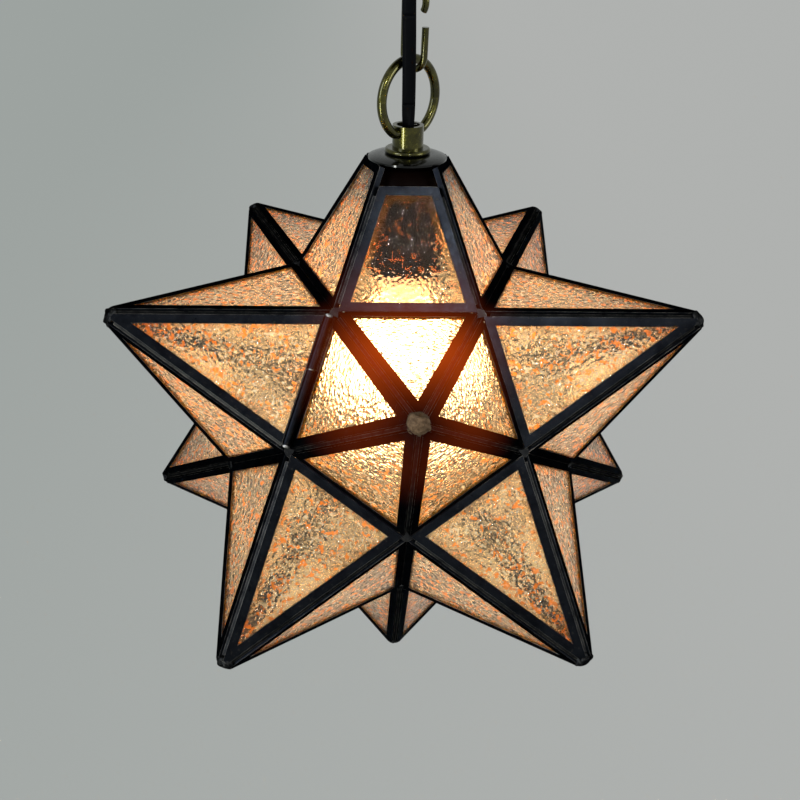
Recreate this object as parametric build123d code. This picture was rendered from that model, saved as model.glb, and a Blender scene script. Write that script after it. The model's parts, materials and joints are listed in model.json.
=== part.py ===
from build123d import *
import os
from math import asin, atan, cos, radians, sin, sqrt, tan

# Star pendant light: a small stellated dodecahedron of glass panes in metal channels.
# Millimetres, +Z up, origin at the ceiling in the middle of the mounting strap.
# The point towards -Y is a hinged door for changing the bulb.

# Star shell
tip_radius = 168.0           # star centre to the ideal sharp tip of a point
pane_thickness = 2.0
pane_clearance = 0.05        # glass to channel on each side
came_wall = 0.35             # sheet that the channels are folded from
came_width = 4.3             # flange of a channel over the glass
seam_gap = 0.05              # between neighbouring channels before soldering
seam_fill = 1.3              # depth of the solder in a groove, from its bottom
seam_end = 5.0               # solder stops short of the corners by this much
seam_tip_end = 0.3           # and of a tip's cap by this much
corner_lump = 3.3            # radius of the solder where three valleys meet
corner_half = 2.6            # half its height
corner_chamfer = 1.5         # all round its two ends
corner_sides = 11            # the lump is a block with this many sides
corner_sink = 0.8            # its middle lies this far inside the corner
tip_trim = 6.8               # channels end this far along the face from the ideal tip
tip_cap_reach = 4.25         # radius of the solder cap on a tip
tip_cap_crown = 1.7          # height of that cap over the channel ends
tip_cap_depth = 2.0          # how far its plug goes down between the channels
top_cut = 32.0               # the upper point is cut off this far below its ideal tip
vent_height = 8.6            # open slot over the short pane, along the face

# Door, the point towards the viewer
door_gap = 0.6               # clearance around the door's base
stop_thickness = 0.6         # angle strips behind the door's base
stop_lap = 2.4               # strip under the channel that carries it
stop_reach = 2.4             # strip past the base line, under the door's edge
stop_clearance = 0.4         # strip to the closed door
stop_end = 4.2               # strip ends this far from the corners
knuckle_radius = 2.0
knuckle_clearance = 0.4      # tube to the face of the other leaf
hinge_length = 62.0
hinge_split = 5.5            # where the two knuckles meet, above the middle
knuckle_end_gap = 0.4
leaf_thickness = 0.8
leaf_reach = 2.9
leaf_lap = 0.5               # how far a leaf goes under its tube
hinge_pin_radius = 1.0
hinge_running_clearance = 0.05
hinge_head_radius = 1.8
hinge_head_height = 1.0
hinge_head_side = 0.4        # straight side of a head, under its chamfer
hinge_head_flat = 1.1        # radius of the flat on a head

# Cap, collar and nipple over the star
cap_radius = 18.8
cap_wall = 0.9
cap_rise = 1.6
cap_rim = 2.6                # flat rim that rests on the channel ends
check_ring_radius = 11.0
check_ring_height = 2.6
collar_radius = 7.4
collar_height = 10.6
collar_bore = 5.5
collar_thread_depth = 3.8
pin_below_rim = 3.2          # cross hole below the collar's rim
nipple_radius = 5.0
nipple_bore = 3.75
nipple_clearance = 0.05
nipple_length = 18.5
nipple_top_gap = 0.2         # nipple end below the shoulder in the collar
locknut_flats = 14.0
locknut_height = 3.0

# Hanging ring, open link and ceiling loop, turned about the plumb line
hanger_turn = 43.0           # plane of the ring, degrees from the X axis
ring_radius = 17.65
ring_wire = 2.25             # wire radius
ring_bend = 4.0              # tighter bend into each pin end
ring_pin_inset = 2.5         # pin end inside the collar's outer wall
ring_side_gap = 0.5          # straight part of the pin outside the collar
ring_hole_clearance = 0.3
link_radius = 6.4            # bends of the oval link, to the wire's middle
link_wire = 1.6
link_length = 35.6           # between the two bends' wires
link_leg = 12.6              # free leg of the opened side
link_spread = 1.5            # how far that leg is bent open, degrees
link_curl = 35.0             # the upper end goes on past the side, degrees
link_slip_ring = 1.6         # the link has slipped this far along the ring's wire
link_slip_side = 0.8         # and this far across that wire, to its open side
hang_gap = 0.4               # between wires that hang in each other
loop_radius = 9.0
loop_wire = 1.8
loop_sink = 1.2              # the loop's wire sinks into its boss
loop_boss_radius = 8.0
loop_boss_height = 9.0
loop_boss_wall = 1.6         # bottom of the boss's blind thread
loop_boss_chamfer = 1.2

# Ceiling fitting
canopy_radius = 50.0
canopy_height = 30.0
canopy_wall = 1.0
canopy_rim = 4.0
canopy_land = 23.0           # flat middle that carries the boss and the bushing
strap_length = 92.0
strap_width = 20.0
strap_thickness = 2.0
strap_screw_spacing = 70.0
strap_slot_length = 12.0
strap_slot_width = 4.5
strap_nut_flats = 14.0
strap_nut_height = 3.0
block_length = 16.0
block_width = 12.0
block_height = 10.0
block_corner = 1.5
block_entry_radius = 1.3
block_entry_depth = 7.0
core_entry = 6.0             # conductor inside its terminal

# Cord: a flat sheathed flex
cord_width = 6.2
cord_thickness = 3.8
core_radius = 1.1
core_spacing = 2.9           # between the two conductors outside the sheath
cord_hold = 0.1              # bushing to cord
bushing_flange = 6.4
bushing_neck = 4.6
bushing_lip = 2.0
bushing_edge = 1.0           # chamfer of the lip
bushing_inner_flange = 5.8
bushing_inner_lip = 1.6
bushing_hole_clearance = 0.05
cord_route = (
    (-2.5, -16.0, -14.0),
    (-2.5, -16.0, -40.0),
    (-0.6, -8.2, -87.0),
    (0.0, 0.0, -123.0),
    (0.0, 0.0, -141.5),
)
cord_drop = cord_route[0][:2]  # where the cord leaves the canopy

# Lampholder
holder_radius = 18.5
holder_wall = 2.2
holder_cap_height = 14.4
holder_cap_top = 8.0         # radius of the flat on the cap
holder_shoulder = 0.72       # fullness of the cap's dome, as a share of its height and spread
skirt_length = 39.0
skirt_flare = 0.7
skirt_lip = 3.0
skirt_taper = 3.0            # from the lip up to the plain tube
insulator_height = 9.0
insulator_drop = 3.0         # below the upper edge of the skirt
insulator_clearance = 0.1
shell_wall = 0.4
shell_length = 25.0
contact_radius = 3.5
contact_height = 1.2

# Bulb with a 27 mm screw cap and a 60 mm globe
bulb_length = 108.0
globe_radius = 30.0
bulb_wall = 0.8
bulb_neck = 12.4
bulb_neck_length = 10.0
bulb_neck_lap = 5.4          # neck inside the screw cap
screw_radius = 13.0
screw_wall = 0.35
screw_length = 23.0
screw_clearance = 0.35       # screw cap to the holder's shell
bulb_contact_gap = 0.3
bulb_contact_radius = 3.0
bulb_contact_height = 1.4
bulb_insulator_height = 3.5
bulb_insulator_top = 5.0
bulb_insulator_base = 11.5
stem_radius = 4.0
stem_tip_radius = 2.4
stem_length = 30.0
stem_flare = 1.2             # thickness of the flare that closes the neck
stem_clearance = 0.05        # flare to the neck
stem_cone = 2.4              # from the flare down to the rod
lead_radius = 0.4
lead_spread = 9.0
lead_length = 12.0
filament_radius = 0.35
filament_sag = 3.6

# Exact proportions of the star
root5 = sqrt(5)
face_offset = tip_radius / root5
apex_y = tip_radius * 2 / root5
base_y = apex_y / (1 + root5)
half_apex = radians(18)
half_dihedral = atan((1 + root5) / 2)
lean = atan(0.5)             # between a face and its point's axis

came_thickness = pane_thickness + 2 * (pane_clearance + came_wall)
edge_inset = came_thickness / 2 / tan(half_dihedral) + seam_gap / 2 / sin(half_dihedral)

# Heights above the star's centre, from the cut upwards
cut_z = tip_radius - top_cut
land_z = cut_z + cap_wall + cap_rise
collar_z = land_z + check_ring_height
rim_z = collar_z + collar_height
pin_z = rim_z - pin_below_rim
ring_turn = asin((collar_radius + ring_side_gap) / (ring_radius - ring_bend))
ring_z = pin_z + (ring_radius - ring_bend) * cos(ring_turn) + ring_bend
bend_room = link_radius - link_wire - hang_gap  # inside a bend, before the other wire
ring_seat = sqrt((bend_room - ring_wire)**2 - link_slip_side**2)
loop_seat = sqrt((bend_room - loop_wire)**2 - link_slip_side**2)
link_low_z = ring_z + sqrt(ring_radius**2 - link_slip_ring**2) + ring_seat - link_radius
link_high_z = link_low_z + link_length
loop_z = link_high_z - link_radius + loop_seat + sqrt(loop_radius**2 - link_slip_ring**2)
boss_z = loop_z + loop_radius + loop_wire - loop_sink
canopy_z = boss_z + loop_boss_height
ceiling_z = canopy_z + canopy_height
centre = Vector(0, 0, -ceiling_z)

# Heights below the cut
locknut_z = land_z - cap_wall - locknut_height
nipple_top_z = collar_z + collar_thread_depth - nipple_top_gap
nipple_z = nipple_top_z - nipple_length
holder_z = locknut_z - holder_cap_height
skirt_z = holder_z - skirt_length
insulator_z = holder_z - insulator_drop - insulator_height
skirt_bore = holder_radius - holder_wall
shell_bore = screw_radius + screw_clearance
bulb_top_z = insulator_z - contact_height - bulb_contact_gap
screw_top_z = bulb_top_z - bulb_contact_height - bulb_insulator_height
screw_low_z = screw_top_z - screw_length
globe_z = bulb_top_z - bulb_length + globe_radius

made = {}


def direction(azimuth, elevation):
    a = radians(azimuth)
    return Vector(cos(elevation) * cos(a), cos(elevation) * sin(a), sin(elevation))


# The twelve points, named by where they stand; the door points towards -Y
upper = ("door", "upper_right", "upper_back_right", "upper_back_left", "upper_left")
lower = ("lower_front_right", "lower_right", "lower_back", "lower_left", "lower_front_left")
axes = {"top": Vector(0, 0, 1), "bottom": Vector(0, 0, -1)}
for step in range(5):
    axes[upper[step]] = direction(72 * step - 90, lean)
    axes[lower[step]] = direction(72 * step - 54, -lean)


def neighbours(point):
    return [n for n in axes if n != point and axes[n].dot(axes[point]) > 0]


def face_plane(middle, point_axis, neighbour_axis):
    """Plane of one pane: Z looks outwards, Y runs up to the point's tip."""
    up = point_axis * tip_radius - neighbour_axis * face_offset
    return Plane(middle + neighbour_axis * face_offset, up.cross(neighbour_axis), neighbour_axis)


def corner(a, b, c):
    """Where three points meet in the valley."""
    return centre + (axes[a] + axes[b] + axes[c]) * (tip_radius / (2 + root5))


def in_star(height):
    return Location(centre + Vector(0, 0, height))


def pane_outline(inset, base_inset, top_y):
    """The golden triangle of a face, set in from its ridges and base and cut at the top."""
    low = base_y + base_inset

    def half(y):
        return (apex_y - y) * tan(half_apex) - inset / cos(half_apex)

    points = [(-half(low), low), (half(low), low)]
    if half(top_y) > 0:
        points += [(half(top_y), top_y), (-half(top_y), top_y)]
    else:
        points += [(0, apex_y - inset / sin(half_apex))]
    return make_face(Polyline(*points, close=True))


def slab(outline, thickness):
    return extrude(outline, thickness / 2, both=True)


def came_envelope(base_inset, top_y):
    return slab(pane_outline(edge_inset, base_inset, top_y), came_thickness)


def came_frame(base_inset, top_y):
    """A U channel folded round the pane's edge."""
    opening = pane_outline(edge_inset + came_width, base_inset + came_width, top_y - came_width)
    pocket = pane_outline(edge_inset + came_wall, base_inset + came_wall, top_y - came_wall)
    frame = came_envelope(base_inset, top_y) - slab(pocket, pane_thickness + 2 * pane_clearance)
    return frame - slab(opening, came_thickness)


def glass_pane(base_inset, top_y):
    edge = came_wall + pane_clearance
    return slab(pane_outline(edge_inset + edge, base_inset + edge, top_y - edge), pane_thickness)


def turned(*points):
    """A solid of revolution about Z from (radius, height) points."""
    outline = Polyline(*[(r, 0, z) for r, z in points], close=True)
    return revolve(make_face(outline), Axis.Z)


def tube(outer, bore, length):
    return turned((bore, 0), (outer, 0), (outer, length), (bore, length))


def upright(radius, height):
    """A cylinder that stands on the XY plane."""
    return Cylinder(radius, height, align=(Align.CENTER, Align.CENTER, Align.MIN))


def wire_along(path, radius):
    return sweep(Plane(path @ 0, z_dir=path % 0) * Circle(radius), path=path)


def save(name, *solids):
    """Keep the solids of one node and write them to its file."""
    made[name] = Compound(children=[s for part in solids for s in part.solids()])
    export_step(made[name], f"parts/{name}.step")


# Panes and channels
plain_top = apex_y - tip_trim
cut_face = (top_cut + came_thickness / 2 * sin(lean)) / cos(lean)
cut_top = apex_y - cut_face
door_inset = edge_inset + door_gap


def face_shape(maker, point, neighbour):
    """Base inset and top of the pane on one face."""
    if point == "door":
        return maker(door_inset, plain_top)
    if point != "top":
        return maker(edge_inset, plain_top)
    if neighbour == "door":
        return maker(edge_inset, cut_top - vent_height)
    return maker(edge_inset, cut_top)


def on_faces(maker, point):
    placed = []
    for neighbour in neighbours(point):
        plane = face_plane(centre, axes[point], axes[neighbour])
        placed.append(plane.location * face_shape(maker, point, neighbour))
    return placed


def node_name(kind, point):
    return f"door_{kind}" if point == "door" else f"{kind}_{point}"


# Solder in the grooves
def seam(start, end, outward, end_gap=seam_end):
    """A three sided bead at the bottom of the groove between two square edges."""
    along = (end - start).normalized()
    bottom = -edge_inset / cos(half_dihedral)
    half = seam_fill / tan(half_dihedral)
    level = bottom + seam_fill
    outline = make_face(Polyline((0, bottom), (half, level), (-half, level), close=True))
    plane = Plane(start + along * seam_end, outward.cross(along), along)
    return plane.location * extrude(outline, (end - start).length - seam_end - end_gap)


def ridge_seams(point):
    """The solder on a point's five ridges, from the valley corners up to the tip."""
    beads = []
    around = neighbours(point)
    for i, a in enumerate(around):
        for b in around[i + 1:]:
            if axes[a].dot(axes[b]) < 0:
                continue
            foot = corner(point, a, b)
            tip = centre + axes[point] * tip_radius
            run = (tip - foot).length
            stop = run - tip_trim - tip_cap_depth
            end_gap = seam_tip_end
            if point == "top":
                end_gap = seam_end
                stop = run - cut_face / cos(half_apex)
                if "door" in (a, b):
                    stop -= vent_height
            end = foot + (tip - foot).normalized() * stop
            beads.append(seam(foot, end, axes[a] + axes[b], end_gap))
    return beads


def valley_seams():
    """The solder inside every valley that doesn't border the door."""
    beads = []
    names = [n for n in axes if n != "door"]
    for i, a in enumerate(names):
        for b in names[i + 1:]:
            if axes[a].dot(axes[b]) < 0:
                continue
            ends = [n for n in axes if n in neighbours(a) and n in neighbours(b)]
            beads.append(seam(corner(a, b, ends[0]), corner(a, b, ends[1]), -(axes[a] + axes[b])))
    return beads


def corner_solder(names):
    """A lump that closes the corner between three points, shaped by the channels round it."""
    spot = corner(*names)
    inward = (centre - spot).normalized()
    block = extrude(RegularPolygon(corner_lump, corner_sides), corner_half, both=True)
    block = chamfer(block.faces().filter_by(Axis.Z).edges(), corner_chamfer)
    lump = Plane(spot + inward * corner_sink, z_dir=-inward).location * block
    if "door" in names:
        base = Plane(centre + axes["door"] * face_offset, z_dir=axes["door"])
        lump = split(lump, base, keep=Keep.BOTTOM)
    for point in names:
        for neighbour in names:
            if point not in ("door", neighbour):
                plane = face_plane(centre, axes[point], axes[neighbour])
                lump -= plane.location * face_shape(came_envelope, point, neighbour)
    return max(lump.solids(), key=lambda s: s.volume)


def corner_lumps():
    """The solder on the twenty corners."""
    lumps = []
    names = list(axes)
    for i, a in enumerate(names):
        for j, b in enumerate(names[i + 1:], i + 1):
            for c in names[j + 1:]:
                if min(axes[a].dot(axes[b]), axes[b].dot(axes[c]), axes[a].dot(axes[c])) > 0:
                    lumps.append(corner_solder((a, b, c)))
    return lumps


def tip_cap():
    """A rounded solder cap that fills the five channel ends; its point's tip is at the origin."""
    end_mid = -tip_trim * cos(lean)
    end_top = end_mid + came_thickness / 2 * sin(lean)
    crown = TangentArc((0, 0, end_top + tip_cap_crown), (tip_cap_reach, 0, end_top), tangent=(1, 0, 0))
    low = end_top - tip_cap_depth
    sides = Polyline(
        (0, 0, end_top + tip_cap_crown), (0, 0, low),
        (tip_cap_reach * cos(lean), 0, low), (tip_cap_reach, 0, end_top),
    )
    blob = revolve(make_face([crown, *sides.edges()]), Axis.Z)
    for step in range(5):
        plane = face_plane(Vector(0, 0, -tip_radius), Vector(0, 0, 1), direction(72 * step, lean))
        blob -= plane.location * came_envelope(edge_inset, plain_top)
    return max(blob.solids(), key=lambda s: s.volume)


def tip_plane(point):
    side = axes[neighbours(point)[0]]
    flat = side - axes[point] * side.dot(axes[point])
    return Plane(centre + axes[point] * tip_radius, flat, axes[point])


# Door hinge, in the valley between the door and the point on its left
hinge_low = corner("door", "upper_left", "lower_front_left")
hinge_high = corner("door", "upper_left", "top")
hinge_up = (hinge_high - hinge_low).normalized()
hinge_standoff = knuckle_radius + knuckle_clearance
hinge_distance = (face_offset + came_thickness / 2 + hinge_standoff) / (1 + 1 / root5)
hinge_out = axes["door"] + axes["upper_left"]
hinge_middle = centre + hinge_out * hinge_distance


def knuckle(point, neighbour, low, high, bore):
    """A hinge tube with a leaf that lies on the channel of its own face."""
    length = high - low
    barrel = Plane(hinge_middle + hinge_up * low, hinge_out, hinge_up)
    face = face_plane(centre, axes[point], axes[neighbour])
    foot = hinge_middle + hinge_up * (low + length / 2) - face.z_dir * hinge_standoff
    leaf_middle = foot + face.y_dir * (leaf_reach / 2 - leaf_lap) + face.z_dir * (leaf_thickness / 2)
    leaf = Plane(leaf_middle, face.y_dir, face.z_dir).location * Box(leaf_reach, length, leaf_thickness)
    hole = barrel.location * upright(bore, length)
    return barrel.location * upright(knuckle_radius, length) + leaf - hole


def door_stop(point):
    """An angle strip behind the channel next to the door; its lip meets the closed door's inner edge."""
    carrier = base_y + edge_inset + stop_lap
    inner = base_y - stop_reach
    back = -came_thickness / 2
    door_edge = door_inset * cos(lean) - came_thickness / 2 * sin(lean)
    lip = door_edge - stop_clearance
    outline = Polyline(
        (0, carrier, back), (0, carrier, back - stop_thickness), (0, inner, back - stop_thickness),
        (0, inner, lip), (0, inner + stop_thickness, lip), (0, inner + stop_thickness, back), close=True,
    )
    half = (apex_y - base_y) * tan(half_apex) - stop_end
    strip = extrude(make_face(outline), half, dir=(1, 0, 0), both=True)
    return face_plane(centre, axes[point], axes["door"]).location * strip


def hinge_pin():
    """A rod with a rounded head at each end, outside the knuckles."""
    half = hinge_length / 2 + knuckle_end_gap
    shank = turned((0, -half), (hinge_pin_radius, -half), (hinge_pin_radius, half), (0, half))
    head = turned(
        (0, half), (hinge_head_radius, half), (hinge_head_radius, half + hinge_head_side),
        (hinge_head_flat, half + hinge_head_height), (0, half + hinge_head_height),
    )
    rod = shank + head + mirror(head, Plane.XY)
    return Plane(hinge_middle, hinge_out, hinge_up).location * rod


# Cap, collar and what threads into them
def star_cap():
    """A shallow dome with a flat rim below and a flat land for the check ring on top."""
    hole = nipple_radius + nipple_clearance
    land = check_ring_radius + nipple_clearance
    inner = cap_radius - cap_rim
    top = cap_wall + cap_rise
    over = TangentArc((land, 0, top), (cap_radius, 0, cap_wall), tangent=(1, 0, 0))
    under = TangentArc((land, 0, cap_rise), (inner, 0, 0), tangent=(1, 0, 0))
    outer_edge = Polyline((cap_radius, 0, cap_wall), (cap_radius, 0, 0), (inner, 0, 0))
    inner_edge = Polyline((land, 0, cap_rise), (hole, 0, cap_rise), (hole, 0, top), (land, 0, top))
    profile = make_face([over, *outer_edge.edges(), under, *inner_edge.edges()])
    return in_star(cut_z) * revolve(profile, Axis.Z)


def check_ring():
    """A turned ring with a rounded edge between cap and collar."""
    hole = nipple_radius + nipple_clearance
    flat = check_ring_radius - check_ring_height / 2
    edge = ThreePointArc(
        (flat, 0, 0), (check_ring_radius, 0, check_ring_height / 2), (flat, 0, check_ring_height)
    )
    sides = Polyline((flat, 0, check_ring_height), (hole, 0, check_ring_height), (hole, 0, 0), (flat, 0, 0))
    return in_star(land_z) * revolve(make_face([edge, *sides.edges()]), Axis.Z)


def hanger_plane(height):
    """Upright plane of the ring and the loop, at a height over the star's centre."""
    u = Vector(cos(radians(hanger_turn)), sin(radians(hanger_turn)), 0)
    return Plane(centre + Vector(0, 0, height), u, u.cross(Vector(0, 0, 1)))


def link_plane(height):
    """Upright plane of the open link, square to the ring's."""
    turn = radians(hanger_turn - 90)
    w = Vector(cos(turn), sin(turn), 0)
    slip = hanger_plane(height).x_dir * link_slip_ring + w * link_slip_side
    return Plane(centre + Vector(0, 0, height) + slip, w, w.cross(Vector(0, 0, 1)))


def collar():
    """A tube with a cross hole for the ring's pin ends and a threaded foot for the nipple."""
    thread = nipple_radius + nipple_clearance
    body = turned(
        (thread, 0), (collar_radius, 0), (collar_radius, collar_height), (collar_bore, collar_height),
        (collar_bore, collar_thread_depth), (thread, collar_thread_depth),
    )
    cross = Plane(hanger_plane(pin_z).origin, z_dir=hanger_plane(pin_z).x_dir)
    hole = cross.location * Cylinder(ring_wire + ring_hole_clearance, 3 * collar_radius)
    return in_star(collar_z) * body - hole


def hex_nut(flats, height):
    nut = extrude(RegularPolygon(flats / 2, 6, major_radius=False), height)
    return nut - Cylinder(nipple_radius + nipple_clearance, height * 3)


# Hanger
def hanging_ring():
    """A round ring that is open at the foot, where both ends turn in as pins."""
    pin_end = collar_radius - ring_pin_inset
    bend_x = (ring_radius - ring_bend) * sin(ring_turn)
    bend_z = pin_z - ring_z
    turn_x = ring_radius * sin(ring_turn)
    turn_z = -ring_radius * cos(ring_turn)
    right_pin = Line((pin_end, bend_z), (bend_x, bend_z))
    right_bend = TangentArc((bend_x, bend_z), (turn_x, turn_z), tangent=(1, 0))
    over = ThreePointArc((turn_x, turn_z), (0, ring_radius), (-turn_x, turn_z))
    left_bend = TangentArc((-bend_x, bend_z), (-turn_x, turn_z), tangent=(-1, 0))
    left_pin = Line((-bend_x, bend_z), (-pin_end, bend_z))
    parts = (right_pin, right_bend, over, left_bend, left_pin)
    path = Wire([edge for part in parts for edge in part.edges()])
    return hanger_plane(ring_z).location * wire_along(path, ring_wire)


def open_link():
    """An oval link, opened on one side: the lower leg spread, the upper end curled in."""
    low = link_radius
    high = link_length - link_radius
    spread = radians(link_spread)
    curl = radians(link_curl)
    foot = (link_radius * cos(spread), low - link_radius * sin(spread))
    leg_end = (foot[0] + link_leg * sin(spread), foot[1] + link_leg * cos(spread))
    leg = Line(leg_end, foot)
    bottom = ThreePointArc(foot, (0, 0), (-link_radius, low))
    side = Line((-link_radius, low), (-link_radius, high))
    tip = (link_radius * cos(curl), high - link_radius * sin(curl))
    over = ThreePointArc((-link_radius, high), (0, link_length), tip)
    path = Wire([*leg.edges(), *bottom.edges(), *side.edges(), *over.edges()])
    return link_plane(link_low_z).location * wire_along(path, link_wire)


def canopy_loop():
    """A closed loop on a threaded boss that clamps the canopy to the ceiling."""
    boss = upright(loop_boss_radius, loop_boss_height)
    boss = chamfer(boss.edges().filter_by(GeomType.CIRCLE), loop_boss_chamfer)
    ring = hanger_plane(loop_z).location * Torus(loop_radius, loop_wire)
    thread = upright(nipple_radius + nipple_clearance, loop_boss_height)
    return in_star(boss_z) * boss + ring - in_star(boss_z + loop_boss_wall) * thread


# Ceiling fitting
def canopy():
    """A spun dome, open to the ceiling, with a flat land in the middle."""
    inner = canopy_radius - canopy_wall
    deep = canopy_wall - canopy_height
    over = TangentArc((canopy_land, 0, -canopy_height), (canopy_radius, 0, -canopy_rim), tangent=(1, 0, 0))
    under = TangentArc((canopy_land, 0, deep), (inner, 0, -canopy_rim), tangent=(1, 0, 0))
    rim = Polyline(
        (canopy_radius, 0, -canopy_rim), (canopy_radius, 0, 0), (inner, 0, 0), (inner, 0, -canopy_rim)
    )
    hole = nipple_radius + nipple_clearance
    land = Polyline(
        (canopy_land, 0, deep), (hole, 0, deep), (hole, 0, -canopy_height), (canopy_land, 0, -canopy_height)
    )
    dome = revolve(make_face([over, *rim.edges(), under, *land.edges()]), Axis.Z)
    cord_hole = Cylinder(bushing_neck + bushing_hole_clearance, 4 * canopy_wall)
    return dome - Pos(*cord_drop, -canopy_height) * cord_hole


def ceiling_strap():
    """A flat bar with rounded ends, two screw slots and a threaded middle hole."""
    bar = extrude(Rot(0, 0, 90) * SlotOverall(strap_length, strap_width), -strap_thickness)
    slot = Rot(0, 0, 90) * SlotOverall(strap_slot_length, strap_slot_width)
    for side in (-1, 1):
        bar -= extrude(Pos(0, side * strap_screw_spacing / 2) * slot, -strap_thickness)
    return bar - Cylinder(nipple_radius + nipple_clearance, 4 * strap_thickness)


def ceiling_nipple():
    """The threaded tube that joins strap, nut and loop."""
    length = canopy_height + loop_boss_height - loop_boss_wall
    return Pos(0, 0, -length) * tube(nipple_radius, nipple_bore, length)


def cord_section():
    return SlotOverall(cord_width, cord_thickness)


def cord_bushing():
    """A grommet with a lip on each side of the canopy and a slot that holds the cord."""
    hole_top = canopy_wall + bushing_inner_lip
    body = turned(
        (0, -bushing_lip), (bushing_flange - bushing_edge, -bushing_lip),
        (bushing_flange, bushing_edge - bushing_lip), (bushing_flange, 0), (bushing_neck, 0),
        (bushing_neck, canopy_wall), (bushing_inner_flange, canopy_wall), (bushing_neck, hole_top),
        (0, hole_top),
    )
    slot = SlotOverall(cord_width + 2 * cord_hold, cord_thickness + 2 * cord_hold)
    return Pos(*cord_drop, -canopy_height) * (body - extrude(slot, bushing_lip + hole_top, both=True))


def terminal_block():
    """A connector under the strap, with two entries over the cord's cores."""
    block = Box(block_length, block_width, block_height, align=(Align.CENTER, Align.CENTER, Align.MAX))
    block = fillet(block.edges().filter_by(Axis.Z), block_corner)
    entry = upright(block_entry_radius, block_entry_depth)
    for side in (-1, 1):
        block -= Pos(side * core_spacing / 2, 0, -block_height) * entry
    return Pos(*cord_drop, -strap_thickness) * block


def core_pair(low, high):
    """The two insulated conductors between a cord's cut end and its terminals."""
    return [Pos(side * core_spacing / 2, 0, low) * upright(core_radius, high - low) for side in (-1, 1)]


def cord():
    """The flat flex from the terminals, past link and ring, down into the lampholder."""
    points = [Vector(*p) for p in cord_route]
    radii = []
    for before, here, after in zip(points, points[1:], points[2:]):
        turn = radians((here - before).get_angle(after - here))
        shorter = min((here - before).length, (after - here).length)
        radii.append(0.45 * shorter / tan(turn / 2))
    print("cord bend radii", [round(r, 1) for r in radii])
    path = FilletPolyline(*points, radius=radii)
    tube_solid = sweep(Plane(points[0], x_dir=(1, 0, 0), z_dir=path % 0) * cord_section(), path=path)
    print("cord length", round(path.length, 1), "volume", round(tube_solid.volume, 1),
          "section times length", round(cord_section().area * path.length, 1))
    return tube_solid


# Lampholder
def holder_cap():
    """The domed upper half, threaded on the nipple."""
    hole = nipple_radius + nipple_clearance
    inner_top = holder_cap_height - holder_wall

    def dome(radius, height):
        middle = (holder_cap_top + (radius - holder_cap_top) * holder_shoulder, 0, height * holder_shoulder)
        return ThreePointArc((radius, 0, 0), middle, (holder_cap_top, 0, height))

    over = dome(holder_radius, holder_cap_height)
    under = dome(skirt_bore, inner_top)
    foot = Line((holder_radius, 0, 0), (skirt_bore, 0, 0))
    top = Polyline((holder_cap_top, 0, inner_top), (hole, 0, inner_top), (hole, 0, holder_cap_height),
                   (holder_cap_top, 0, holder_cap_height))
    return in_star(holder_z) * revolve(make_face([over, *foot.edges(), under, *top.edges()]), Axis.Z)


def holder_skirt():
    """The lower half: a tube that flares a little to a thicker lip."""
    wide = holder_radius + skirt_flare
    return in_star(skirt_z) * turned(
        (skirt_bore, 0), (wide, 0), (wide, skirt_lip), (holder_radius, skirt_lip + skirt_taper),
        (holder_radius, skirt_length), (skirt_bore, skirt_length),
    )


def holder_insulator():
    return in_star(insulator_z) * upright(skirt_bore - insulator_clearance, insulator_height)


def screw_shell():
    """The brass sleeve that takes the bulb's screw cap."""
    return in_star(insulator_z - shell_length) * tube(shell_bore + shell_wall, shell_bore, shell_length)


def centre_contact():
    return in_star(insulator_z - contact_height) * upright(contact_radius, contact_height)


# Bulb
def bulb_profile(inset):
    """Neck, hollow shoulder and globe as tangent arcs, set in by the wall."""
    neck = bulb_neck - inset
    globe = globe_radius - inset
    neck_top = screw_low_z + bulb_neck_lap
    start = neck_top - bulb_neck_length
    rise = start - globe_z
    # The shoulder's arc touches the neck line and, from outside, the globe.
    shoulder = (bulb_neck**2 + rise**2 - globe_radius**2) / (2 * (globe_radius - bulb_neck))
    reach = shoulder + globe_radius
    along_r = (bulb_neck + shoulder) / reach
    along_z = rise / reach
    touch = (globe * along_r, globe_z + globe * along_z)
    bend = shoulder + inset
    hollow = (bulb_neck + shoulder, start)
    chord = Vector((touch[0] + neck) / 2 - hollow[0], (touch[1] + start) / 2 - hollow[1], 0).normalized()
    middle = (hollow[0] + chord.X * bend, hollow[1] + chord.Y * bend)
    return [
        Line((neck, 0, neck_top), (neck, 0, start)),
        ThreePointArc((neck, 0, start), (middle[0], 0, middle[1]), (touch[0], 0, touch[1])),
        ThreePointArc((touch[0], 0, touch[1]), (globe * cos(lean), 0, globe_z - globe * sin(lean)),
                      (0, 0, globe_z - globe)),
    ]


def bulb_glass():
    """A pear shaped shell that is open at the neck, inside the screw cap."""
    outer = bulb_profile(0)
    inner = bulb_profile(bulb_wall)
    lip = Line(inner[0] @ 0, outer[0] @ 0)
    foot = Line(outer[2] @ 1, inner[2] @ 1)
    profile = make_face([e for part in (*outer, *inner, lip, foot) for e in part.edges()])
    return in_star(0) * revolve(profile, Axis.Z)


def bulb_cap():
    """The screw cap, a plain sleeve of the thread's outer size with a closed top."""
    return in_star(screw_low_z) * turned(
        (screw_radius - screw_wall, 0), (screw_radius, 0), (screw_radius, screw_length),
        (bulb_insulator_base, screw_length), (bulb_insulator_base, screw_length - screw_wall),
        (screw_radius - screw_wall, screw_length - screw_wall),
    )


def bulb_insulator():
    return in_star(screw_top_z) * turned(
        (0, -screw_wall), (bulb_insulator_base, -screw_wall), (bulb_insulator_base, 0),
        (bulb_insulator_top, bulb_insulator_height), (0, bulb_insulator_height),
    )


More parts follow.
